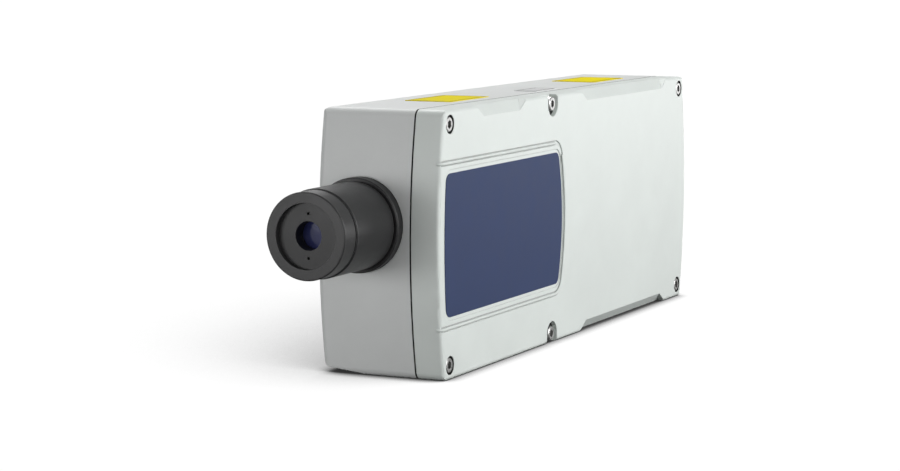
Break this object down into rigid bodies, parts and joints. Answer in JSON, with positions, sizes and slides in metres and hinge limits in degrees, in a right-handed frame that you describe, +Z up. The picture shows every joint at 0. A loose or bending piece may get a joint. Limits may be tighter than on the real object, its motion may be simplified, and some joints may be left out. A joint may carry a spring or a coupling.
{
  "type": "industrial vibration sensor",
  "caption": "Laser vibration sensor: bowed cast housing with screwed lid, focusing lens barrel on its front end, and the laser, optics and boards inside.",
  "frame": {"origin": "middle of the housing's standing face, on its long narrow side", "axes": "+Z up as it stands, the beam leaves towards -Y, the lid faces +X"},
  "size_m": [0.0719, 0.4338, 0.1403],
  "materials": {
    "cast_base": "light grey textured paint on cast aluminium",
    "cast_lid": "light grey textured paint on cast aluminium",
    "seal_rubber": "matt black rubber",
    "screw_steel": "stainless steel",
    "label_blue": "satin printed film",
    "plate_yellow": "satin printed film",
    "plate_white": "satin printed film",
    "barrel_black": "black anodised, satin",
    "ring_black": "black anodised, satin",
    "turned_dark": "dark anodised",
    "rod_steel": "ground steel",
    "coated_glass": "blue-violet coated glass",
    "lens_glass": "polished glass",
    "bench_alloy": "milled aluminium",
    "mount_alloy": "dark anodised blocks",
    "laser_jacket": "drawn aluminium jacket",
    "laser_ceramic": "ceramic end caps",
    "mirror_glass": "front coated mirror",
    "board_green": "solder resist",
    "diode_gold": "gold plated cans and brass spacers",
    "chip_black": "moulded black plastic",
    "can_tin": "tinned sheet",
    "part_blue": "capacitor sleeves",
    "supply_case": "potted black case",
    "plug_nickel": "nickel plated brass, satin",
    "light_lens": "green light lens"
  },
  "bodies": {
    "housing": {"housing_base": "cast_base", "housing_lid": "cast_lid", "lid_gasket": "seal_rubber", "lid_corner_screws": "screw_steel", "lid_middle_screws": "screw_steel", "front_label": "label_blue", "top_plate_front": "plate_yellow", "top_plate_middle": "plate_white", "top_plate_rear": "plate_yellow", "lens_flange": "barrel_black", "flange_seal": "seal_rubber", "lens_barrel": "barrel_black", "flange_screws": "screw_steel", "barrel_back_ring": "turned_dark", "guide_rods": "rod_steel", "optical_bench": "bench_alloy", "bench_screws": "screw_steel", "laser_tube": "laser_jacket", "laser_end_caps": "laser_ceramic", "laser_clamps": "mount_alloy", "clamp_screws": "screw_steel", "fold_mirror_blocks": "mount_alloy", "fold_mirrors": "mirror_glass", "splitter_plinths": "mount_alloy", "splitter_cubes": "lens_glass", "waveplate_holder": "mount_alloy", "quarter_waveplate": "lens_glass", "bragg_cell": "mount_alloy", "bragg_crystal": "lens_glass", "detector_boards": "board_green", "photodiodes": "diode_gold", "signal_board": "board_green", "signal_chips": "chip_black", "shield_can": "can_tin", "power_board": "board_green", "power_parts": "part_blue", "board_spacers": "diode_gold", "board_screws": "screw_steel", "laser_supply": "supply_case", "supply_screws": "screw_steel", "main_connector": "plug_nickel", "main_insert": "chip_black", "main_connector_nut": "plug_nickel", "signal_connector": "plug_nickel", "signal_insert": "chip_black", "signal_connector_nut": "plug_nickel", "status_light": "light_lens", "pressure_vent": "barrel_black"},
    "focus_ring": {"focus_ring": "ring_black", "ring_keeper": "turned_dark", "window_retainer": "barrel_black", "window_seal": "seal_rubber", "front_window": "coated_glass"},
    "lens_cell": {"lens_cell": "turned_dark", "focus_lens": "lens_glass", "cell_lock_ring": "turned_dark"}
  },
  "joints": [
    {"name": "focus_ring_turn", "type": "hinge", "parent": "housing", "child": "focus_ring", "pos_m": [-0.0102, -0.2325, 0.08], "axis": [0, 1, 0], "range_deg": [-135, 135]},
    {"name": "lens_cell_slide", "type": "slide", "parent": "housing", "child": "lens_cell", "axis": [0, 1, 0], "range_m": [-0.003, 0.003]}
  ],
  "couplings": [
    {"joint": "lens_cell_slide", "follows": "focus_ring_turn", "m_per_rad": 0.00127}
  ]
}
